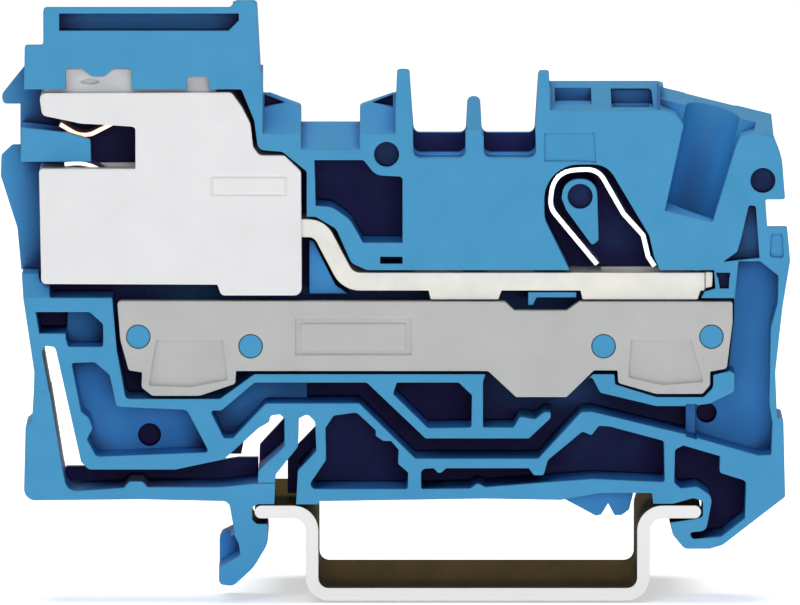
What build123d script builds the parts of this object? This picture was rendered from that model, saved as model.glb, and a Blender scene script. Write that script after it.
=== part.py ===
"""Neutral-disconnect DIN rail terminal block on a short length of 35 mm rail.

Millimetres. X runs across the rail, Y along it and Z up. The origin is the middle of the
rail section at the height of its flange tops, halfway through the block's thickness.
The open side of the housing faces -Y. Outlines are (x, z) corners, each with an optional
third value for its own corner radius.
"""

import os
from math import cos, radians, sin

from build123d import *

os.makedirs("parts", exist_ok=True)

# Depths through the thickness of the block
thickness = 7.5
front = -thickness / 2
back = thickness / 2
wall = back - 1.0
skin = front + 1.0

# Rail, the EN 60715 section 35 x 7.5
rail_width = 35.0
rail_channel = 27.0
rail_height = 7.5
rail_sheet = 1.0
rail_length = 20.0

# Disconnect slide
slide_back = wall - 0.3
slide_front = front + 0.05
slide_skin = slide_front + 0.6
contact_sheet = 0.35
contact_front = -2.0
contact_back = 1.8

# Current bar and clamp
bar_sheet = 1.4
bar_top = 18.3
bar_front = front + 0.45
bar_back = 2.2
spring_sheet = 0.38
spring_front = front + 1.1
spring_back = 1.6
funnel_tilt = 13.8
funnel_radius = 2.15
funnel_depth = -0.3

# Cover plate
plate_front = front + 0.1
plate_sheet = 1.2
peg_radius = 0.9
peg_places = [(-26.6, 13.3), (-17.8, 12.55), (9.85, 12.55), (18.3, 13.3)]

# Round sockets in the open side (x, z, radius, depth of the mouth) and the pins opposite them
socket_places = [(-7.15, 27.65, 0.98, front), (22.3, 25.6, 0.98, front),
                 (8.0, 24.35, 0.98, front), (-25.8, 5.1, 0.9, 1.0)]
pin_length = 1.4
pin_clearance = 0.08


def slab(corners, near, far, radius=0.0, mode=Mode.ADD):
    """Extrude a closed (x, z) outline through the thickness, from depth near to depth far."""
    points = [corner[:2] for corner in corners]
    radii = [corner[2] if len(corner) > 2 else radius for corner in corners]
    with BuildSketch(Plane.XZ.offset(-far)) as outline:
        with BuildLine():
            FilletPolyline(*points, radius=radii, close=True)
        make_face()
    extrude(outline.sketch, amount=far - near, mode=mode)


def ramp(corners, left, right, mode=Mode.SUBTRACT):
    """Extrude a closed (y, z) outline across the block, from x left to x right."""
    with BuildSketch(Plane.YZ.offset(left)) as outline:
        with BuildLine():
            Polyline(*corners, close=True)
        make_face()
    extrude(outline.sketch, amount=right - left, mode=mode)


def disc(x, z, radius, near, far, mode=Mode.ADD):
    """A round boss or hole through the thickness, from depth near to depth far."""
    with BuildSketch(Plane.XZ.offset(-far)) as outline:
        with Locations((x, z)):
            Circle(radius)
    extrude(outline.sketch, amount=far - near, mode=mode)


def strip(points, radii, sheet, near, far, mode=Mode.ADD):
    """Bend sheet along an open (x, z) path, and give it its width through the thickness."""
    with BuildSketch(Plane.XZ.offset(-far)) as outline:
        with BuildLine():
            FilletPolyline(*points, radius=radii)
        trace(line_width=sheet)
    extrude(outline.sketch, amount=far - near, mode=mode)


def save(piece, name):
    """Label a finished piece and write it under the same name."""
    piece.part.label = name
    export_step(piece.part, f"parts/{name}.step")


# Outline of the whole block without the latch, clockwise from the top left
block_outline = [
    (-35.45, 36.25, 0.3), (-34.0, 36.25, 0.2), (-34.0, 39.2, 0.4), (-19.4, 39.2, 0.3),
    (-18.8, 39.75, 0.3), (-17.35, 39.75, 0.4), (-17.05, 34.1), (-16.85, 34.05),
    (-16.85, 32.1), (-13.85, 31.0, 0.3), (-13.85, 29.6), (-9.25, 29.6), (-9.25, 31.0, 0.3),
    (-6.4, 32.0), (-6.3, 34.35, 0.4), (-5.4, 34.35, 0.4), (-5.0, 28.8, 0.5),
    (-0.95, 28.8, 0.5), (-0.8, 31.6, 0.45), (0.2, 31.6, 0.45), (0.35, 28.8, 0.5),
    (4.45, 28.8, 0.5), (4.8, 34.25, 0.2), (5.55, 34.25, 0.35), (5.6, 32.8),
    (14.2, 32.8, 0.5), (15.6, 32.35, 0.5),
    (16.4, 31.8, 0.5), (20.2, 30.85, 0.5), (21.3, 30.9, 0.5), (23.1, 30.4, 0.3),
    (23.15, 28.9, 0.4), (23.8, 27.2, 0.8), (24.05, 24.1, 0.2), (22.5, 24.1, 0.15),
    (22.65, 21.95), (24.2, 22.0, 0.25), (24.45, 19.3, 0.8), (23.85, 15.6, 2.0),
    (23.3, 10.5, 3.0), (23.45, 6.9), (23.95, 6.85, 0.3), (24.1, 0.7, 0.2), (19.2, -3.1, 0.8),
    (18.2, -3.4, 0.6), (16.2, -3.4, 0.6), (15.3, -2.3, 0.5), (15.05, -1.35), (17.1, -1.05, 0.1),
    (17.65, -0.9, 0.3), (17.65, 0.35, 0.2), (16.9, 0.6, 0.3), (15.3, 0.15), (13.75, 0.15),
    (13.7, 1.0, 0.2), (9.6, 1.0), (6.5, 0.45, 0.5), (0.5, 0.55, 5.0), (-12.4, 0.35),
    (-12.5, 0.1), (-14.25, 0.1), (-14.1, 2.75, 0.2), (-12.65, 4.3, 0.3), (-12.75, 6.6, 0.4),
    (-13.35, 7.25, 0.4), (-14.05, 6.85), (-15.15, 6.85), (-15.5, 7.2, 0.3), (-16.25, 7.1, 0.3),
    (-16.35, 6.6, 0.2), (-17.2, 6.1, 0.4), (-19.9, 3.65, 0.6), (-23.7, 2.85, 1.0),
    (-30.5, 2.85, 0.5), (-31.1, 3.45, 0.3),
    (-33.1, 12.5, 0.4), (-33.95, 12.6, 0.3), (-34.15, 12.1, 0.1), (-33.6, 9.0), (-34.8, 9.0),
    (-34.75, 10.5), (-35.6, 16.3, 0.5), (-35.75, 18.05, 0.2),
]

# Chamber for the slide, the current bar and the cover plate, open to the front
chamber_outline = [
    (-36.0, 32.75), (-18.5, 32.75, 0.2), (-17.5, 30.3, 1.5), (-17.2, 28.0, 0.6),
    (-15.3, 27.85, 0.5), (-13.4, 26.3, 0.3), (-13.4, 22.75), (-12.7, 22.75, 0.6),
    (-11.1, 21.8, 0.9), (-9.9, 19.1, 0.8), (-8.7, 18.55, 0.5), (18.5, 18.55),
    (18.6, 17.1), (17.75, 16.85, 0.2), (17.5, 16.35), (20.15, 16.35, 0.2), (20.15, 14.4),
    (19.75, 10.6, 0.3), (18.45, 10.3, 0.1), (18.45, 9.3, 0.7), (17.7, 8.55, 0.3),
    (14.0, 8.55, 0.5), (10.75, 9.55, 0.2), (10.7, 10.35, 0.15), (9.0, 10.35, 0.3),
    (7.0, 8.3, 0.2), (3.0, 8.3, 0.2), (0.75, 10.35, 0.3), (-17.5, 10.35, 0.4),
    (-20.2, 8.4, 0.5), (-27.6, 8.4, 0.4), (-28.3, 12.3, 1.0), (-28.65, 16.35, 0.1),
    (-33.55, 16.35, 0.2), (-33.6, 17.35), (-34.3, 17.5, 0.1), (-34.45, 18.1), (-36.0, 18.1),
]

# Left edge of the closed wall, which the slide passes on its way to the busbar
wall_outline = [
    (-34.0, 34.3), (-35.4, 34.3), (-37.45, 31.75, 0.6), (-37.25, 31.08, 0.3), (-35.95, 31.08),
    (-35.95, 27.8), (-36.6, 27.8, 0.4), (-37.45, 27.0, 0.3), (-37.5, 25.4, 0.5),
    (-36.2, 21.3, 1.0), (-35.9, 18.0), (-33.0, 18.0),
]

# Recesses in the open side: outline, depth of the floor
shallow = 0.6
middle = 1.0
recesses = [
    # openings for the plug-in bridge
    ([(-5.1, 30.0), (-5.05, 27.35, 0.6), (-0.95, 27.35, 0.6), (-1.0, 30.0)], wall),
    ([(0.45, 30.0), (0.45, 27.35, 0.6), (4.55, 27.35, 0.6), (4.5, 30.0)], wall),
    # pocket under the left funnel
    ([(-12.8, 27.2), (-8.95, 27.2, 0.3), (-8.0, 26.0, 1.2), (-5.9, 25.9, 0.3), (-5.9, 20.7),
      (-9.0, 20.7), (-10.0, 22.5, 2.0), (-11.4, 23.5, 1.5), (-12.7, 23.6)], wall),
    ([(-7.65, 19.6), (-5.9, 19.6), (-5.9, 19.05), (-7.65, 19.05)], shallow - 1.0),
    # pockets of the lower left
    ([(-34.65, 15.25), (-32.2, 15.25), (-32.25, 13.55), (-34.35, 13.55)], wall),
    ([(-32.3, 15.25), (-30.4, 15.25, 0.4), (-29.35, 14.3, 0.4), (-29.35, 12.5, 0.2),
      (-32.1, 12.5, 0.2), (-32.3, 13.2)], middle),
    ([(-31.85, 11.25, 0.2), (-30.0, 11.3, 0.3), (-28.85, 10.3, 0.3), (-28.3, 7.8, 0.3),
      (-22.8, 7.55, 0.5), (-21.05, 4.2, 0.2), (-29.9, 3.85, 0.4), (-30.65, 5.2, 0.2),
      (-30.2, 6.1, 0.3), (-30.5, 6.9, 0.3), (-31.1, 7.4, 0.3)], middle),
    ([(-21.0, 7.5, 0.2), (-20.1, 7.5, 0.3), (-17.5, 9.7, 0.3), (-13.4, 9.7), (-13.4, 8.05),
      (-16.6, 8.05, 0.4), (-19.2, 5.3, 0.3), (-19.9, 5.3, 0.3)], middle),
    # channel that runs under the cover plate and up to its right-hand end
    ([(-13.4, 9.7), (-8.7, 9.7, 0.3), (-4.1, 5.3, 0.2), (4.0, 5.3, 0.2), (5.7, 6.9, 0.2),
      (5.7, 8.4), (6.9, 8.4), (8.9, 10.2, 0.2), (9.6, 8.9, 0.3), (14.0, 7.85, 0.3),
      (16.35, 7.85), (16.35, 5.6), (8.9, 7.4, 0.6), (8.1, 7.35, 0.3), (4.75, 3.7, 0.2),
      (-4.9, 3.7, 0.2), (-9.3, 8.05, 0.3), (-13.4, 8.05)], wall),
    ([(-6.35, 9.7), (-1.5, 9.7, 0.3), (-0.45, 8.7, 0.2), (-0.5, 6.15, 0.2), (-3.9, 6.1, 0.2),
      (-6.65, 8.8, 0.2)], wall),
    ([(0.4, 9.75), (0.6, 10.4), (1.0, 10.4), (3.1, 8.35), (5.9, 8.4), (5.8, 7.35), (5.2, 7.35, 0.2),
      (4.5, 6.8, 0.3), (3.3, 7.0, 0.2), (2.8, 6.15, 0.2), (0.4, 6.15, 0.15)], wall),
    ([(-11.3, 7.1, 0.3), (-9.5, 7.35, 0.5), (-8.0, 5.95), (-8.0, 5.5), (-7.4, 5.1, 0.2),
      (-6.8, 5.1, 0.1), (-6.2, 4.4), (-6.25, 3.3, 0.2), (-5.45, 2.6, 0.2), (-5.5, 1.3, 0.2),
      (-13.45, 1.3, 0.4), (-11.9, 3.6, 0.3), (-11.95, 6.1, 0.2)], wall),
    ([(-4.45, 2.9, 0.4), (-3.45, 2.95), (-3.0, 2.45, 0.3), (-2.5, 2.95), (4.0, 2.95),
      (4.4, 2.4, 0.2), (5.15, 2.4, 0.2), (5.5, 3.6, 0.2), (8.2, 5.85, 0.3), (8.9, 5.55, 0.1),
      (9.5, 6.3, 0.2), (10.3, 6.25), (14.6, 5.1, 0.3), (14.65, 1.85, 0.2), (9.0, 2.1),
      (5.5, 1.85), (0.6, 1.45), (0.0, 1.75, 0.2), (-0.6, 1.35), (-4.45, 1.3, 0.2)], wall),
    # pockets of the right foot
    ([(15.45, 4.4, 0.3), (16.1, 4.75, 0.2), (19.0, 3.9), (18.95, 2.6, 0.3), (21.05, 1.95, 0.4),
      (20.95, -1.0, 0.2), (19.1, -2.45, 0.4), (16.8, -2.65, 0.3), (16.6, -2.1, 0.2),
      (17.9, -2.0, 0.6), (18.4, 0.7, 0.8), (17.2, 1.5, 0.5), (15.9, 1.35, 0.2),
      (15.4, 1.8, 0.2)], wall),
    # tall cavity of the right edge
    ([(20.1, 16.2), (20.4, 19.25), (22.1, 19.25), (23.55, 18.1, 0.3), (23.5, 16.0),
      (22.95, 14.0, 1.0), (22.85, 8.0), (23.1, 6.5), (23.0, 4.0, 0.1), (22.0, 3.95),
      (17.1, 5.35), (17.1, 7.9), (18.2, 8.05), (20.1, 9.0, 0.3), (20.1, 10.4), (19.7, 10.6)],
     middle),
    ([(21.2, 23.65, 0.2), (21.75, 23.6, 0.2), (22.05, 19.5), (19.2, 19.2), (20.3, 20.0),
      (20.6, 21.0)], front + 1.6),
    ([(18.65, 18.35), (19.75, 18.35), (19.7, 17.05), (18.95, 17.0)], front + 1.2),
    ([(22.95, 21.4, 0.2), (23.85, 21.4, 0.2), (23.95, 19.5, 0.2), (22.85, 19.6, 0.2)],
     front + 0.2),
    # sunken rib of the right foot
    ([(16.3, 8.0), (17.15, 8.0), (17.15, 5.2), (16.3, 5.45)], 0.0),
    # clamp spring
    ([(7.35, 18.2), (5.2, 22.6, 2.0), (5.2, 26.85, 2.7), (10.1, 26.85, 1.8), (13.4, 21.3, 0.8),
      (13.8, 19.6, 0.5), (14.4, 18.2)], wall),
    # marker slots and the slot for the clamp's screwdriver
    ([(6.05, 32.4), (8.9, 32.4), (8.9, 31.4), (6.05, 31.4)], 2.0),
    ([(10.45, 32.35), (13.65, 32.35, 0.3), (13.75, 31.2), (10.45, 31.2)], 2.0),
    ([(-32.75, 38.7), (-18.7, 38.7), (-18.7, 38.15), (-19.5, 37.35), (-32.75, 37.35)],
     front + 1.9),
    ([(-16.75, 31.75), (-15.1, 31.25), (-16.75, 30.9)], back - 0.4),
    ([(-6.65, 31.75), (-8.3, 31.25), (-6.65, 30.9)], back - 0.4),
    # panels let into the face by a fraction of a millimetre
    ([(5.2, 29.3), (9.1, 29.3), (9.25, 27.0), (8.0, 27.1), (5.2, 27.1)], front + 0.12),
]


# Line of the conductor through its funnel and the window of the current bar
lean = Vector(sin(radians(funnel_tilt)), 0, cos(radians(funnel_tilt)))
across = Vector(cos(radians(funnel_tilt)), 0, -sin(radians(funnel_tilt)))
funnel_mouth = Vector(18.15, funnel_depth, 29.5)
funnel_end = funnel_mouth - lean * 12.0


def make_housing():
    """Blue housing: one closed wall with every rib, boss and peg standing on it."""
    with BuildPart() as housing:
        slab(block_outline, front, back)
        slab(chamber_outline, front, wall, mode=Mode.SUBTRACT)
        for floor in sorted({depth for corners, depth in recesses}):
            with BuildSketch(Plane.XZ.offset(-floor)) as openings:
                for corners in [outline for outline, depth in recesses if depth == floor]:
                    with BuildLine():
                        FilletPolyline(*[corner[:2] for corner in corners], close=True,
                                       radius=[sum(corner[2:]) for corner in corners])
                    make_face()
            extrude(openings.sketch, amount=floor - front, mode=Mode.SUBTRACT)
        slab(wall_outline, wall, back)

        # hollow bridge over the slide, open at its left end, with two windows in its skin
        slab([(-36.5, 32.6), (-36.5, 34.6), (-19.5, 34.6), (-19.5, 32.6)], skin, wall,
             mode=Mode.SUBTRACT)
        slab([(-32.25, 32.6), (-32.25, 34.4, 0.15), (-31.0, 34.4), (-30.2, 33.75, 0.5),
              (-29.2, 33.75, 0.5), (-28.45, 34.4), (-27.1, 34.4, 0.15), (-27.1, 32.6)],
             front, skin, mode=Mode.SUBTRACT)
        slab([(-22.75, 32.6), (-22.75, 33.75, 0.15), (-21.05, 33.75, 0.15), (-21.05, 32.6)],
             front, skin, mode=Mode.SUBTRACT)

        # tops that lean down behind the open side, and faces that lean back above it
        ramp([(front + 0.3, 36.25), (back, 35.4), (back, 37.0), (front + 0.3, 37.0)],
             -36.0, -34.0)
        ramp([(front + 0.3, 39.2), (back, 38.3), (back, 40.0), (front + 0.3, 40.0)],
             -34.5, -19.2)
        ramp([(front + 0.3, 39.75), (back, 38.9), (back, 40.0), (front + 0.3, 40.0)],
             -19.2, -16.9)
        ramp([(front + 0.3, 34.35), (back, 33.5), (back, 35.0), (front + 0.3, 35.0)],
             -6.6, -5.0)
        ramp([(front + 0.3, 34.25), (back, 33.4), (back, 35.0), (front + 0.3, 35.0)],
             4.6, 5.58)
        ramp([(front + 0.2, 22.0), (back, 21.2), (back, 22.8), (front + 0.2, 22.8)],
             22.6, 24.5)
        ramp([(front, 29.25), (front, 33.5), (back, 33.5), (back, 31.9)], -16.84, -13.8)
        ramp([(front, 28.05), (front, 30.5), (back, 30.5), (back, 29.6)], -13.85, -9.25)
        ramp([(front, 29.25), (front, 33.5), (back, 33.5), (back, 31.9)], -9.3, -6.45)
        ramp([(front, 29.6), (front, 33.0), (back, 33.0), (back, 31.6)], -0.9, 0.3)
        ramp([(front, 31.1), (front, 33.5), (back, 33.5), (back, 32.8)], 5.65, 14.2)

        # sloped crest of the left wall, which the skirt of the slide passes over
        ramp([(front, 16.35), (front, 18.5), (front + 1.6, 18.5), (front + 1.6, 18.1)],
             -36.2, -33.5)

        # tongue that parks the contacts, and blocks behind the current bar
        slab([(-35.8, 27.0), (-35.75, 29.7), (-32.2, 29.3), (-30.35, 28.75, 0.1), (-30.3, 27.0)],
             front + 0.75, wall)
        slab([(-36.2, 28.5), (-36.2, 30.0), (-30.0, 30.0), (-30.0, 28.5)], contact_front - 0.15,
             contact_back + 0.15, mode=Mode.SUBTRACT)
        slab([(-13.2, 16.55), (-13.2, 20.75), (-12.9, 20.7, 0.1), (-11.15, 17.2, 0.5),
              (-10.2, 16.55)], front + 1.6, wall)
        slab([(3.95, 15.75), (3.95, 16.75), (7.7, 16.75), (7.7, 16.35), (4.6, 16.35),
              (4.3, 15.75)], front + 0.6, wall)

        # arm that ends the row beside the current bar
        slab([(18.7, 16.9), (17.75, 16.85), (17.75, 16.4), (20.1, 16.4), (20.0, 18.0),
              (18.7, 18.0)], front, wall)
        slab([(18.75, 18.3), (19.7, 18.3), (19.65, 17.1), (18.95, 17.1)], front, front + 1.2,
             mode=Mode.SUBTRACT)

        # webs at the closed wall beside the two slots of the latch's beam
        slab([(-18.1, 5.7), (-18.35, 4.7), (-18.6, 3.4), (-19.6, 3.4), (-20.3, 3.9),
              (-19.0, 4.8)], wall, back)
        slab([(-14.95, 0.3), (-14.95, 3.2), (-13.95, 4.3), (-12.7, 5.6), (-12.4, 5.6),
              (-12.4, 0.3)], wall, back)

        # gripping teeth above the inside of the rail
        slab([(6.4, 0.6), (6.7, 0.3), (9.3, -1.1), (9.7, -1.0, 0.1), (10.25, -0.1),
              (10.75, -1.05, 0.15), (11.3, -1.05, 0.3), (11.9, -0.6, 0.3), (12.2, 0.6),
              (12.2, 1.2), (6.4, 1.2)], -1.0, back)

        # core of the clamp spring
        slab([(6.55, 24.2), (6.75, 25.7, 1.25), (9.3, 25.7, 1.2), (9.45, 20.9, 0.3),
              (8.95, 20.5, 0.2), (8.5, 21.1), (6.9, 23.3)], front, wall)

        # conductor funnel: open half round at the top, closed passage below
        slab([(14.75, 23.75), (16.1, 30.0, 0.4), (15.5, 30.75, 0.4), (14.25, 31.25, 0.3),
              (14.25, 33.5), (23.4, 33.5), (21.6, 29.35, 0.3), (20.5, 29.05, 0.4),
              (20.2, 28.3, 0.3), (18.4, 22.4)], front, funnel_depth, mode=Mode.SUBTRACT)
        with BuildSketch(Plane(origin=funnel_end, x_dir=(0, 1, 0), z_dir=lean)) as bore:
            Circle(funnel_radius)
        extrude(bore.sketch, amount=17.0, mode=Mode.SUBTRACT)
        with BuildSketch(Plane(origin=(14.2, 0, 31.2), x_dir=(0, 1, 0), z_dir=across)) as lip:
            Polygon((front, 0), (front, 4), (back, 4), (back, 1.15), align=None)
        extrude(lip.sketch, amount=9.6, mode=Mode.SUBTRACT)
        with BuildSketch(Plane(origin=(14.75, 0, 23.75), x_dir=(0, 1, 0),
                               z_dir=across)) as ledge:
            Polygon((front, -0.55), (front, 0.3), (front + 2.4, 0.3), align=None)
        extrude(ledge.sketch, amount=3.75, mode=Mode.SUBTRACT)

        # slot that takes a screwdriver to the clamp spring, and shafts of the plug-in bridge
        slab([(10.6, 32.0), (13.5, 32.0), (13.3, 26.0), (11.6, 23.5), (10.6, 24.8)], -1.9, 1.2,
             mode=Mode.SUBTRACT)
        for left in (-4.9, 0.65):
            slab([(left, 29.0), (left + 3.7, 29.0), (left + 3.7, 18.4), (left, 18.4)],
                 skin + 0.2, -0.95, mode=Mode.SUBTRACT)

        # sockets in the open side, and the pins opposite them for the next block in the row
        for x, z, radius, mouth in socket_places:
            disc(x, z, radius, mouth, mouth + pin_length + 0.2, mode=Mode.SUBTRACT)
            disc(x, z, radius - pin_clearance, wall, back + pin_length)
        disc(18.0, 6.85, 0.8, 0.5, wall, mode=Mode.SUBTRACT)

        # pegs of the cover plate
        for x, z in peg_places:
            disc(x, z, peg_radius, plate_front + 0.05, wall)
    return housing


# The latch: left leg, bottom beam, foot and hook, which flex to the left as one
latch_outline = [
    (-34.8, 8.9), (-34.95, 6.6, 0.2), (-35.45, 6.2, 0.2), (-35.6, 0.4, 0.9), (-26.5, 0.5, 8.0),
    (-19.5, 0.35, 0.6), (-19.3, -0.9, 0.5), (-19.05, -2.2, 0.1), (-20.1, -2.7, 0.2),
    (-20.3, -3.1, 0.1), (-20.3, -6.2, 0.4), (-19.2, -6.35, 0.8), (-17.6, -4.9, 3.0),
    (-16.4, -2.9, 2.0), (-16.5, -1.45), (-17.35, -1.45, 0.3), (-17.7, -1.1, 0.2),
    (-17.7, -0.1, 0.3), (-17.2, 0.12, 0.2), (-15.95, 0.12), (-15.9, 1.75), (-17.2, 1.75),
    (-20.3, 1.45, 0.8), (-25.9, 1.45), (-26.3, 1.9, 0.4), (-27.3, 1.9, 0.4), (-27.75, 1.4),
    (-32.2, 1.1, 0.9), (-32.6, 3.0, 0.6), (-33.55, 8.9),
]


def make_rail_latch():
    """Compliant foot: its hook holds the left flange of the rail."""
    with BuildPart() as latch:
        slab(latch_outline, front, back)
        slab([(-32.6, 1.3), (-32.4, 2.4), (-23.5, 2.4), (-18.8, 3.1), (-17.25, 3.1),
              (-17.25, 1.6), (-16.0, 1.6), (-16.0, 0.6)], wall, back)
        slab([(-20.5, -3.0), (-19.95, -2.5), (-19.1, -2.3), (-18.75, -3.0, 0.3),
              (-18.6, -3.9, 0.3), (-20.0, -4.75), (-20.5, -4.9)], front, 1.0, mode=Mode.SUBTRACT)
    return latch


def make_latch_flex_beam():
    """Slim beam between the two slots, which ties the foot to the housing above it."""
    with BuildPart() as beam:
        slab([(-15.15, 6.5), (-15.15, 4.65, 0.4), (-17.2, 2.75, 0.4), (-17.25, 1.8),
              (-15.9, 1.8), (-15.85, 2.45, 0.4), (-14.1, 4.65, 0.4), (-14.05, 6.5)], front, wall)
        slab([(-15.25, 6.5), (-15.3, 6.1, 0.1), (-17.15, 4.1, 0.3), (-17.2, 1.8), (-15.9, 1.8),
              (-15.85, 2.45, 0.3), (-14.15, 4.3, 0.3), (-14.1, 6.5)], wall, back)
    return beam


def make_slide_body():
    """White slide: two jaws on the left, a ribbed top and a chamber for its contacts."""
    body_outline = [
        (-34.35, 32.45, 0.5), (-19.3, 32.5, 0.4), (-18.5, 31.4, 1.0), (-17.8, 30.05, 1.5),
        (-17.6, 28.2, 0.8), (-17.1, 27.55, 0.5), (-15.15, 27.55, 0.3), (-13.85, 26.3, 0.4),
        (-13.8, 18.3), (-34.2, 18.3), (-34.35, 26.5, 0.3), (-26.8, 26.5), (-26.8, 29.8, 0.3),
        (-29.0, 29.95, 2.0), (-31.0, 30.05, 3.0), (-34.1, 30.7, 0.5),
    ]
    skirt_outline = [
        (-34.2, 18.4), (-34.2, 17.45, 0.4), (-20.4, 17.4, 0.1), (-20.1, 16.55, 0.4),
        (-13.8, 16.55, 0.6), (-13.8, 18.4),
    ]
    with BuildPart() as slide:
        slab(body_outline, slide_front, slide_back)
        slab(skirt_outline, slide_front, slide_front + 0.45)
        slab([(-33.9, 32.3), (-33.9, 34.3), (-20.5, 34.3), (-20.5, 32.3)], skin + 0.15,
             slide_back - 0.3)
        slab([(-31.45, 33.25, 0.1), (-30.4, 33.5, 1.0), (-29.35, 33.25, 0.1),
              (-30.4, 33.0, 1.0)], skin, skin + 0.6, mode=Mode.SUBTRACT)
        # chamber for the contacts, room for the tongue and tunnel for the current bar
        slab([(-23.65, 30.25), (-23.65, 19.9), (-13.0, 19.9), (-13.0, 23.75), (-22.7, 23.75),
              (-22.7, 30.25)], contact_front - 0.1, contact_back + 0.1, mode=Mode.SUBTRACT)
        slab([(-29.8, 30.25), (-29.8, 29.5), (-26.6, 29.5), (-23.0, 29.8), (-23.0, 30.25)],
             contact_front - 0.1, contact_back + 0.1, mode=Mode.SUBTRACT)
        slab([(-30.7, 26.6), (-30.7, 26.2), (-28.4, 25.7), (-23.0, 25.7), (-23.0, 26.3),
              (-26.6, 26.6)], contact_front - 0.1, contact_back + 0.1, mode=Mode.SUBTRACT)
        slab([(-27.0, 29.8), (-27.0, 26.6), (-23.65, 26.6), (-23.65, 29.8)], slide_skin,
             slide_back, mode=Mode.SUBTRACT)
        slab([(-23.0, 22.6), (-23.0, 20.95), (-13.0, 20.95), (-13.0, 22.6)], bar_front - 0.12,
             bar_back + 0.15, mode=Mode.SUBTRACT)
        # shallow blank panel on the face
        slab([(-20.9, 25.95), (-14.95, 25.95), (-14.95, 24.4), (-20.9, 24.4)], front,
             slide_front + 0.06, mode=Mode.SUBTRACT)
        slab([(-20.75, 25.8), (-15.1, 25.8), (-15.1, 24.55), (-20.75, 24.55)],
             slide_front, slide_front + 0.06)
    return slide


def make_contact(points, radii):
    """One bent strip of the slide's fork contact."""
    with BuildPart() as contact:
        strip(points, radii, contact_sheet, contact_front, contact_back)
    return contact


def make_current_bar():
    """Tinned copper bar from the slide's tunnel to the clamp, with a window at the clamp."""
    rise = 21.8
    run = bar_top - bar_sheet / 2
    with BuildPart() as bar:
        strip([(-22.4, rise), (-12.4, rise), (-10.2, run), (17.75, run)], [1.4, 1.6], bar_sheet,
              bar_front, bar_back)
        for left, right in ((-4.0, 2.1), (7.9, 17.7)):
            for near in (bar_front, bar_back - 0.6):
                slab([(left, run), (right, run), (right - 0.5, 16.2, 0.1),
                      (left + 0.3, 16.2, 0.1)], near, near + 0.6)
        slab([(9.7, 19.0), (17.0, 19.0), (17.0, 16.0), (9.7, 16.0)],
             spring_front - 0.1, spring_back + 0.1,
             mode=Mode.SUBTRACT)
        slab([(17.6, 18.3), (17.85, 18.3), (17.85, 17.0), (17.6, 17.0)], bar_front + 0.3,
             bar_back)
        slab([(17.85, 18.35, 0.1), (18.4, 18.35, 0.15), (18.35, 17.2, 0.1), (17.85, 17.1)],
             bar_front, bar_back)
    return bar


spring_path = [(9.35, 18.9), (5.65, 23.35), (5.9, 26.25), (9.4, 26.4), (11.4, 22.9),
               (12.95, 21.2), (13.35, 19.5), (13.85, 18.75)]


def make_spring(points, radii):
    """One stretch of the clamp spring's steel strip."""
    with BuildPart() as spring:
        strip(points, radii, spring_sheet, spring_front, spring_back)
    return spring


def make_cover_plate():
    """Grey plate over the lower chamber, on four pegs, with two blank panels pressed in."""
    outline = [
        (-28.25, 16.1, 0.3), (-28.0, 13.0, 2.0), (-27.35, 10.65, 0.3), (-26.3, 10.5, 0.1),
        (-26.35, 9.3, 0.4), (-25.5, 8.65, 0.3), (-21.8, 8.65, 1.0), (-19.0, 9.6, 0.3),
        (-18.95, 10.6, 0.05), (0.8, 10.6, 0.3), (3.0, 8.55, 0.2), (6.95, 8.55, 0.2),
        (9.1, 10.65, 0.3), (10.95, 10.65, 0.1), (11.0, 9.65, 0.3), (14.0, 8.8, 0.5),
        (17.6, 8.8, 0.3), (18.2, 9.5, 0.4), (18.2, 10.55, 0.05), (19.5, 10.8, 0.3),
        (19.95, 14.4, 1.0), (19.95, 16.05, 0.2), (7.95, 16.05), (6.95, 15.35, 0.1),
        (2.85, 15.35, 0.1), (2.1, 16.05), (-27.0, 16.1),
    ]
    plate_back = plate_front + plate_sheet
    with BuildPart() as plate:
        slab(outline, plate_front, plate_back)
        for x, z in peg_places:
            disc(x, z, peg_radius + 0.06, front, plate_back, mode=Mode.SUBTRACT)
        slab([(-25.2, 13.0), (-20.0, 13.0), (-19.6, 9.9, 0.2), (-22.5, 9.35), (-25.8, 9.45, 0.2)],
             front, plate_front + 0.25, mode=Mode.SUBTRACT)
        slab([(12.0, 13.0), (16.7, 13.0), (17.7, 9.75, 0.2), (14.5, 9.5), (11.8, 10.1, 0.2)],
             front, plate_front + 0.25, mode=Mode.SUBTRACT)
        slab([(-14.3, 14.75), (-5.2, 14.75), (-5.2, 11.85), (-14.3, 11.85)], front,
             plate_front + 0.15, mode=Mode.SUBTRACT)
        slab([(-13.85, 14.3), (-5.65, 14.3), (-5.65, 12.3), (-13.85, 12.3)],
             plate_front + 0.06, plate_front + 0.3)
    return plate


def make_din_rail():
    """Top-hat rail of even sheet, running away behind the block from its open side."""
    inset = rail_sheet / 2
    half_width = rail_width / 2
    half_channel = rail_channel / 2 - inset
    floor = -rail_height + inset
    path = [(inset - half_width, -inset), (-half_channel, -inset), (-half_channel, floor),
            (half_channel, floor), (half_channel, -inset), (half_width - inset, -inset)]
    with BuildPart() as rail:
        strip(path, [1.5, 1.3, 1.3, 1.5], rail_sheet, front, front + rail_length)
        for tip in (inset - half_width, half_width - inset):
            disc(tip, -inset, inset, front, front + rail_length)
    return rail


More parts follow.
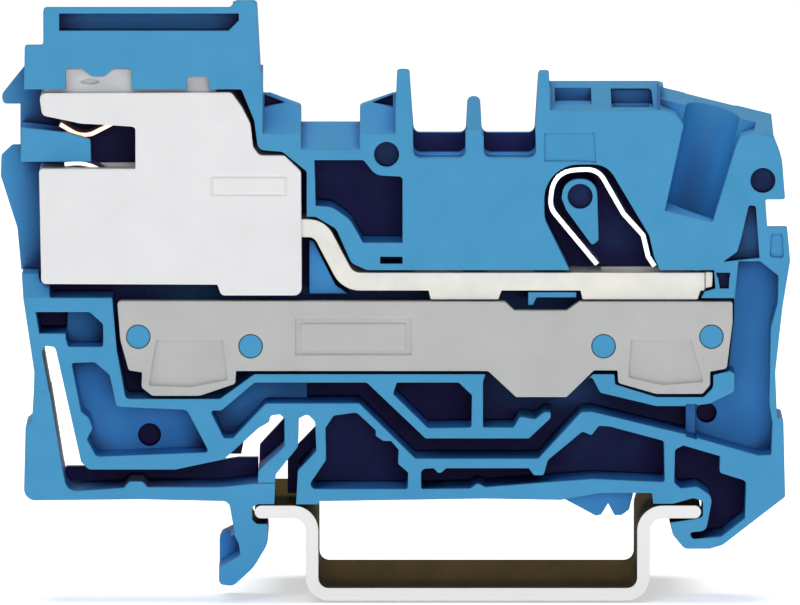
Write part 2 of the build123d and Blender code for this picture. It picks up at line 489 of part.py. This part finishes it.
save(make_housing(), "housing")
save(make_rail_latch(), "rail_latch")
save(make_latch_flex_beam(), "latch_flex_beam")
save(make_slide_body(), "slide_body")
save(make_contact([(-32.75, 29.85), (-30.9, 28.75), (-28.6, 29.95), (-22.95, 29.95),
                   (-22.95, 23.3), (-15.6, 22.7), (-14.2, 22.95)], [1.8, 0.5, 0.5, 0.4, 2.0]),
     "slide_contact_upper")
save(make_contact([(-32.4, 26.7), (-30.9, 26.85), (-29.0, 26.0), (-23.4, 26.0), (-23.4, 20.3),
                   (-15.6, 20.85), (-14.2, 20.6)], [3.0, 0.5, 0.3, 0.3, 2.0]),
     "slide_contact_lower")
save(make_current_bar(), "current_bar")
save(make_spring(spring_path[:4] + [(10.4, 24.65)], [1.6, 2.1, 1.6]), "clamp_spring_loop")
save(make_spring([(10.45, 24.56)] + spring_path[4:], [0.8, 0.6, 0.4]), "clamp_spring_leg")
save(make_cover_plate(), "cover_plate")
save(make_din_rail(), "din_rail")
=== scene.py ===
"""Looks of the DIN rail terminal block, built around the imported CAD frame.

Metres, in the frame of the CAD: X across the rail, Y away from the open side, Z up.
"""

from math import cos, radians, sin, tan

import bmesh
import bpy
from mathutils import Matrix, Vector


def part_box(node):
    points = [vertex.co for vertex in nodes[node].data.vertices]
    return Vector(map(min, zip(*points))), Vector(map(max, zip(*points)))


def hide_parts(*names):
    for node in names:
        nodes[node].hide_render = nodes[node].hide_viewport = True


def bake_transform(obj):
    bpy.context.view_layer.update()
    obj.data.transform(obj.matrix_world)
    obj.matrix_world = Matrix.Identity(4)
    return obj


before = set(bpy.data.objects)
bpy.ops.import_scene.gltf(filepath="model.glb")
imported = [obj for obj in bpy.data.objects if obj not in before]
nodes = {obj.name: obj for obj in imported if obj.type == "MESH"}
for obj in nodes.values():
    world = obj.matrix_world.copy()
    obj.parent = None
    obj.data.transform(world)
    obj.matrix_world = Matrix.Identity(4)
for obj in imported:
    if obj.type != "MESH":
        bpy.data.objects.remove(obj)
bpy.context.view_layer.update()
MM = 0.001

# Faces of the block that the looks are placed from
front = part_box("housing")[0][1]
rail_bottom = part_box("din_rail")[0][2]


# ---------------------------------------------------------------- materials

# painted shade for the pockets of the blue plastic: a dark navy far in, and a saturated blue
# nearer the open faces
painted_pocket_shade = (0.006, 0.003, 0.062)
painted_shade_blue = (0.030, 0.20, 0.60)
sheet_edge = 0.00008
rail_edge = 0.00012


def new_material(name):
    """An empty node material and its principled shader."""
    material = bpy.data.materials.new(name)
    material.use_nodes = True
    shader = material.node_tree.nodes["Principled BSDF"]
    return material, material.node_tree, shader


def noise(tree, scale, detail=4.0, roughness=0.55, stretch=(1, 1, 1)):
    """Noise in object space; stretch squeezes it along an axis. Returns its factor output."""
    place = tree.nodes.new("ShaderNodeTexCoord")
    mapping = tree.nodes.new("ShaderNodeMapping")
    mapping.inputs["Scale"].default_value = stretch
    texture = tree.nodes.new("ShaderNodeTexNoise")
    texture.inputs["Scale"].default_value = scale
    texture.inputs["Detail"].default_value = detail
    texture.inputs["Roughness"].default_value = roughness
    tree.links.new(place.outputs["Object"], mapping.inputs["Vector"])
    tree.links.new(mapping.outputs["Vector"], texture.inputs["Vector"])
    return texture.outputs["Fac"]


def ramp(tree, source, stops):
    """Colour ramp from a factor; stops are (position, colour)."""
    node = tree.nodes.new("ShaderNodeValToRGB")
    elements = node.color_ramp.elements
    while len(elements) < len(stops):
        elements.new(0.5)
    for element, (position, colour) in zip(elements, stops):
        element.position = position
        element.color = (*colour, 1.0)
    tree.links.new(source, node.inputs["Fac"])
    return node.outputs["Color"]


def span(tree, source, low, high):
    """Map a 0 to 1 factor onto low to high."""
    node = tree.nodes.new("ShaderNodeMapRange")
    node.inputs["To Min"].default_value = low
    node.inputs["To Max"].default_value = high
    tree.links.new(source, node.inputs["Value"])
    return node.outputs["Result"]


def mapped(tree, source, low, high, start, end):
    """Smooth step from start to end while source goes from low to high."""
    node = tree.nodes.new("ShaderNodeMapRange")
    node.interpolation_type = "SMOOTHSTEP"
    node.inputs["From Min"].default_value = low
    node.inputs["From Max"].default_value = high
    node.inputs["To Min"].default_value = start
    node.inputs["To Max"].default_value = end
    tree.links.new(source, node.inputs["Value"])
    return node.outputs["Result"]


def combined(tree, operation, first, second):
    """A math node on two factors."""
    node = tree.nodes.new("ShaderNodeMath")
    node.operation = operation
    for socket, value in zip(node.inputs, (first, second)):
        if isinstance(value, float):
            socket.default_value = value
        else:
            tree.links.new(value, socket)
    return node.outputs["Value"]


def hollow(tree, reach):
    """How open a point is: 1 on open faces, falling to 0 in pockets narrower than reach."""
    node = tree.nodes.new("ShaderNodeAmbientOcclusion")
    node.samples = 6
    node.inputs["Distance"].default_value = reach
    return node.outputs["AO"]


def mixed(tree, factor, first, second):
    """Mix two colours; the second is a plain colour."""
    node = tree.nodes.new("ShaderNodeMix")
    node.data_type = "RGBA"
    tree.links.new(factor, node.inputs[0])
    tree.links.new(first, node.inputs[6])
    node.inputs[7].default_value = (*second, 1.0)
    return node.outputs[2]


def rounded(tree, radius):
    """Normal that is rounded over edges."""
    bevel = tree.nodes.new("ShaderNodeBevel")
    bevel.samples = 6
    bevel.inputs["Radius"].default_value = radius
    return bevel.outputs["Normal"]


def on_edges(tree, normal):
    """A factor that is 1 right on the edges, where the rounded normal leaves the face's."""
    geometry = tree.nodes.new("ShaderNodeNewGeometry")
    turn = tree.nodes.new("ShaderNodeVectorMath")
    turn.operation = "DOT_PRODUCT"
    tree.links.new(normal, turn.inputs[0])
    tree.links.new(geometry.outputs["Normal"], turn.inputs[1])
    return mapped(tree, turn.outputs["Value"], 0.78, 0.99, 1.0, 0.0)


def grained(tree, shader, normal, scale, stretch=(1, 1, 1), strength=0.12, distance=0.00002):
    """Fine bump of the moulded or rolled surface, over the rounded edges."""
    bump = tree.nodes.new("ShaderNodeBump")
    bump.inputs["Strength"].default_value = strength
    bump.inputs["Distance"].default_value = distance
    tree.links.new(noise(tree, scale, 2.0, 0.55, stretch), bump.inputs["Height"])
    tree.links.new(normal, bump.inputs["Normal"])
    tree.links.new(bump.outputs["Normal"], shader.inputs["Normal"])


def moulded(name, dark, light, highlight_colour, roughness, gloss, edge=0.00018, shade_colour=None):
    """Moulded plastic: faint flow marks, a spark-eroded grain, edges painted paler as a
    highlight, and painted shade in its pockets when a shade colour is given.
    """
    material, tree, shader = new_material(name)
    colour = ramp(tree, noise(tree, 260.0, 3.0), [(0.3, dark), (0.7, light)])
    normal = rounded(tree, edge)
    # painted highlight: the edges are painted paler where the rounded normal turns away from
    # the face
    edge_highlight = combined(tree, "MULTIPLY", on_edges(tree, normal), 0.6)
    colour = mixed(tree, edge_highlight, colour, highlight_colour)
    if shade_colour:
        # painted shade: the closer and the deeper a pocket, the bluer and then the darker its
        # walls and floor are painted, from its depth and how enclosed it is
        place = tree.nodes.new("ShaderNodeSeparateXYZ")
        coordinates = tree.nodes.new("ShaderNodeTexCoord")
        tree.links.new(coordinates.outputs["Object"], place.inputs["Vector"])
        depth = mapped(tree, place.outputs["Y"], 0.0012, 0.0026, 0.0, 1.0)
        enclosed = mapped(tree, hollow(tree, 0.007), 0.4, 0.6, 1.0, 0.0)
        low = combined(tree, "MULTIPLY", depth, enclosed)
        narrow = mapped(tree, hollow(tree, 0.0022), 0.28, 0.52, 1.0, 0.0)
        shaded = mapped(tree, hollow(tree, 0.006), 0.5, 0.9, 0.6, 0.0)
        colour = mixed(tree, shaded, colour, painted_shade_blue)
        colour = mixed(tree, combined(tree, "MAXIMUM", low, narrow), colour, shade_colour)
    tree.links.new(colour, shader.inputs["Base Color"])
    tree.links.new(span(tree, noise(tree, 900.0, 5.0), roughness - 0.05, roughness + 0.07),
                   shader.inputs["Roughness"])
    shader.inputs["Specular IOR Level"].default_value = gloss
    grained(tree, shader, normal, 9000.0)
    return material


def metal(name, dark, light, roughness, stretch, bare=1.0):
    """Rolled sheet metal: colour clouds and lines drawn along the rolling direction."""
    material, tree, shader = new_material(name)
    tree.links.new(ramp(tree, noise(tree, 500.0, 4.0), [(0.3, dark), (0.7, light)]),
                   shader.inputs["Base Color"])
    shader.inputs["Metallic"].default_value = bare
    lines = noise(tree, 2500.0, 3.0, 0.6, stretch)
    tree.links.new(span(tree, lines, roughness - 0.06, roughness + 0.08),
                   shader.inputs["Roughness"])
    grained(tree, shader, rounded(tree, sheet_edge), 2500.0, stretch, 0.15, 0.00001)
    return material


def rolled_zinc(name):
    """Rail steel: bright cut ends, and a dull yellow-brown passivated skin elsewhere."""
    material, tree, shader = new_material(name)
    skin = ramp(tree, noise(tree, 300.0, 5.0, 0.6, (1, 0.08, 1)),
                [(0.3, (0.048, 0.029, 0.006)), (0.7, (0.074, 0.047, 0.011))])
    geometry = tree.nodes.new("ShaderNodeNewGeometry")
    facing = tree.nodes.new("ShaderNodeSeparateXYZ")
    tree.links.new(geometry.outputs["Normal"], facing.inputs["Vector"])
    along = combined(tree, "ABSOLUTE", facing.outputs["Y"], 0.0)
    cut = mapped(tree, along, 0.3, 0.8, 0.0, 1.0)
    tree.links.new(mixed(tree, cut, skin, (0.74, 0.74, 0.735)), shader.inputs["Base Color"])
    shader.inputs["IOR"].default_value = 1.02
    tree.links.new(span(tree, noise(tree, 1200.0, 4.0, 0.6, (1, 0.05, 1)), 0.42, 0.58),
                   shader.inputs["Roughness"])
    grained(tree, shader, rounded(tree, rail_edge), 2500.0, (1, 0.05, 1), 0.15, 0.00001)
    return material


# each plastic's third colour is its painted edge highlight; the blue one also paints shade
# into its pockets
blue = moulded("blue_polyamide", (0.047, 0.245, 0.45), (0.055, 0.268, 0.485),
               (0.10, 0.33, 0.52), 0.5, 0.1, shade_colour=painted_pocket_shade)
white = moulded("white_polyamide", (0.635, 0.635, 0.645), (0.675, 0.675, 0.685),
                (0.95, 0.95, 0.96), 0.45, 0.25, edge=0.00025)
grey = moulded("grey_polyamide", (0.39, 0.395, 0.39), (0.425, 0.43, 0.425),
               (0.62, 0.62, 0.615), 0.6, 0.2, edge=0.00022)
tinned = metal("tinned_copper", (0.60, 0.59, 0.55), (0.68, 0.67, 0.62), 0.55, (0.05, 1, 1),
               bare=0.25)
copper = metal("bare_copper", (0.95, 0.62, 0.45), (1.0, 0.72, 0.55), 0.3, (0.05, 1, 1))
spring = metal("spring_steel", (0.86, 0.86, 0.87), (0.95, 0.95, 0.95), 0.3, (1, 1, 0.05))
zinc = rolled_zinc("zinc_plate")

finishes = {
    "housing": blue, "rail_latch": blue, "latch_flex_beam": blue, "slide_body": white,
    "slide_contact_upper": copper, "slide_contact_lower": spring, "current_bar": tinned,
    "clamp_spring_loop": spring, "clamp_spring_leg": spring, "cover_plate": grey,
    "din_rail": zinc,
}
for name, material in finishes.items():
    node = nodes[name]
    node.data.materials.clear()
    node.data.materials.append(material)


# ---------------------------------------------------------------- flexing pieces

def cut_levels(shape, step):
    """Cut a mesh into level bands step mm apart, so that it can bend."""
    heights = [vertex.co.z / MM for vertex in shape.verts]
    level = min(heights) + step
    while level < max(heights):
        bmesh.ops.bisect_plane(shape, geom=shape.verts[:] + shape.edges[:] + shape.faces[:],
                               plane_co=(0, 0, level * MM), plane_no=(0, 0, 1))
        level += step


def finish_mesh(shape, mesh):
    """Write the shape into the mesh, smooth except over sharp edges."""
    shape.to_mesh(mesh)
    shape.free()
    mesh.shade_smooth()
    mesh.set_sharp_from_angle(angle=radians(30))


def sheet_mesh(name, outline, near, far, step):
    """A closed (x, z) outline in mm as a solid from depth near to far, in bands of step mm."""
    mesh = bpy.data.meshes.new(name)
    shape = bmesh.new()
    ring = [shape.verts.new((x * MM, near * MM, z * MM)) for x, z in outline]
    face = shape.faces.new(ring)
    grown = bmesh.ops.extrude_face_region(shape, geom=[face])["geom"]
    moved = [item for item in grown if isinstance(item, bmesh.types.BMVert)]
    bmesh.ops.translate(shape, verts=moved, vec=(0, (far - near) * MM, 0))
    bmesh.ops.recalc_face_normals(shape, faces=shape.faces)
    cut_levels(shape, step)
    finish_mesh(shape, mesh)
    return mesh


def arc_path(points, radii, steps=8):
    """An open (x, z) path with its inner corners rounded."""
    path = [Vector(points[0])]
    for before, corner, after, radius in zip(points, points[1:], points[2:], radii):
        corner = Vector(corner)
        away = (Vector(before) - corner).normalized()
        ahead = (Vector(after) - corner).normalized()
        reach = radius / tan(away.angle(ahead) / 2)
        start, end = corner + away * reach, corner + ahead * reach
        for i in range(steps + 1):
            t = i / steps
            path.append(start * (1 - t) ** 2 + corner * 2 * t * (1 - t) + end * t ** 2)
    path.append(Vector(points[-1]))
    return path


def band(path, sheet):
    """Outline of a strip of that thickness along a path."""
    left, right = [], []
    for i, point in enumerate(path):
        run = (path[min(i + 1, len(path) - 1)] - path[max(i - 1, 0)]).normalized()
        side = Vector((-run.y, run.x)) * sheet / 2
        left.append(tuple(point + side))
        right.append(tuple(point - side))
    return left + right[::-1]


def bending_latch():
    """The foot and its slim beam as one moulding that reaches up to the housing."""
    mesh = bpy.data.meshes.new("latch_moulding")
    shape = bmesh.new()
    # reach is how far each top is raised, in mm, to meet the housing
    for source, reach in (("rail_latch", 0.1), ("latch_flex_beam", 0.35)):
        known = set(shape.verts)
        shape.from_mesh(nodes[source].data)
        added = [vertex for vertex in shape.verts if vertex not in known]
        top = max(vertex.co.z for vertex in added)
        for vertex in added:
            if vertex.co.z > top - 0.02 * MM:
                vertex.co.z += reach * MM
    cut_levels(shape, 0.35)
    finish_mesh(shape, mesh)
    moulding = bpy.data.objects.new("latch_moulding", mesh)
    bpy.context.scene.collection.objects.link(moulding)
    mesh.materials.clear()
    mesh.materials.append(blue)
    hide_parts("rail_latch", "latch_flex_beam")
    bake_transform(moulding)


def bending_spring():
    """The clamp spring as one strip, along the CAD's path in mm, that bends past its loop."""
    path = [(9.35, 18.9), (5.65, 23.35), (5.9, 26.25), (9.4, 26.4), (11.4, 22.9),
            (12.95, 21.2), (13.35, 19.5), (13.85, 18.75)]
    radii = [1.6, 2.1, 1.6, 0.8, 0.6, 0.4]
    sheet = 0.38
    near, far = (corner[1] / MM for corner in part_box("clamp_spring_loop"))
    mesh = sheet_mesh("clamp_spring", band(arc_path(path, radii), sheet), near, far, 0.2)
    strip = bpy.data.objects.new("clamp_spring", mesh)
    bpy.context.scene.collection.objects.link(strip)
    mesh.materials.append(spring)
    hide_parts("clamp_spring_loop", "clamp_spring_leg")
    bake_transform(strip)


bending_latch()
bending_spring()


# ---------------------------------------------------------------- stage

def make_floor():
    """Plain pale floor under the rail, curving up into a backdrop far behind."""
    depth, rise, bend = 7.0, 4.0, 2.0
    profile = [(-depth, 0.0), (depth - bend, 0.0)]
    profile += [(depth - bend * (1 - sin(radians(a))), bend * (1 - cos(radians(a))))
                for a in range(10, 91, 10)]
    profile.append((depth, rise))
    width = 7.0
    gap = 0.0002
    points = [(x, y, rail_bottom - gap + z) for y, z in profile for x in (-width, width)]
    faces = [(i, i + 1, i + 3, i + 2) for i in range(0, len(points) - 2, 2)]
    mesh = bpy.data.meshes.new("floor")
    mesh.from_pydata(points, [], faces)
    mesh.shade_smooth()
    floor = bpy.data.objects.new("floor", mesh)
    bpy.context.scene.collection.objects.link(floor)
    material, tree, shader = new_material("pale_floor")
    pale = ramp(tree, noise(tree, 3.0), [(0.3, (0.93, 0.93, 0.93)), (0.7, (0.95, 0.95, 0.95))])
    tree.links.new(pale, shader.inputs["Base Color"])
    shader.inputs["Roughness"].default_value = 0.9
    shader.inputs["Emission Color"].default_value = (1.0, 1.0, 1.0, 1.0)
    shader.inputs["Emission Strength"].default_value = 0.5
    mesh.materials.append(material)


def area_light(name, place, aim, size, power):
    """A square soft light at place, turned towards aim."""
    data = bpy.data.lights.new(name, "AREA")
    data.size = size
    data.energy = power
    light = bpy.data.objects.new(name, data)
    light.location = place
    light.rotation_euler = (Vector(aim) - Vector(place)).to_track_quat("-Z", "Y").to_euler()
    bpy.context.scene.collection.objects.link(light)


def make_camera():
    """Long lens on the open side, raised by a few degrees."""
    elevation, distance = radians(5.5), 1.3
    aim = Vector((-6.1 * MM, front, 16.0 * MM))
    data = bpy.data.cameras.new("camera")
    data.sensor_width = 36.0
    data.lens = 747.0
    data.clip_end = 40.0
    camera = bpy.data.objects.new("camera", data)
    camera.location = aim + distance * Vector((0, -cos(elevation), sin(elevation)))
    camera.rotation_euler = (aim - camera.location).to_track_quat("-Z", "Y").to_euler()
    bpy.context.scene.collection.objects.link(camera)
    bpy.context.scene.camera = camera


make_floor()
make_camera()
centre = (-0.006, 0.0, 0.016)
area_light("key", (-0.2, -0.6, 0.5), centre, 0.35, 1.35)
area_light("front", (0.1, -1.1, 0.12), centre, 0.45, 4.2)
area_light("top", (0.0, 0.1, 0.8), centre, 0.6, 4.6)
world = bpy.data.worlds.new("studio")
world.use_nodes = True
world.node_tree.nodes["Background"].inputs["Color"].default_value = (1.0, 1.0, 1.0, 1.0)
world.node_tree.nodes["Background"].inputs["Strength"].default_value = 0.15
bpy.context.scene.world = world
bpy.context.scene.view_settings.view_transform = "Standard"
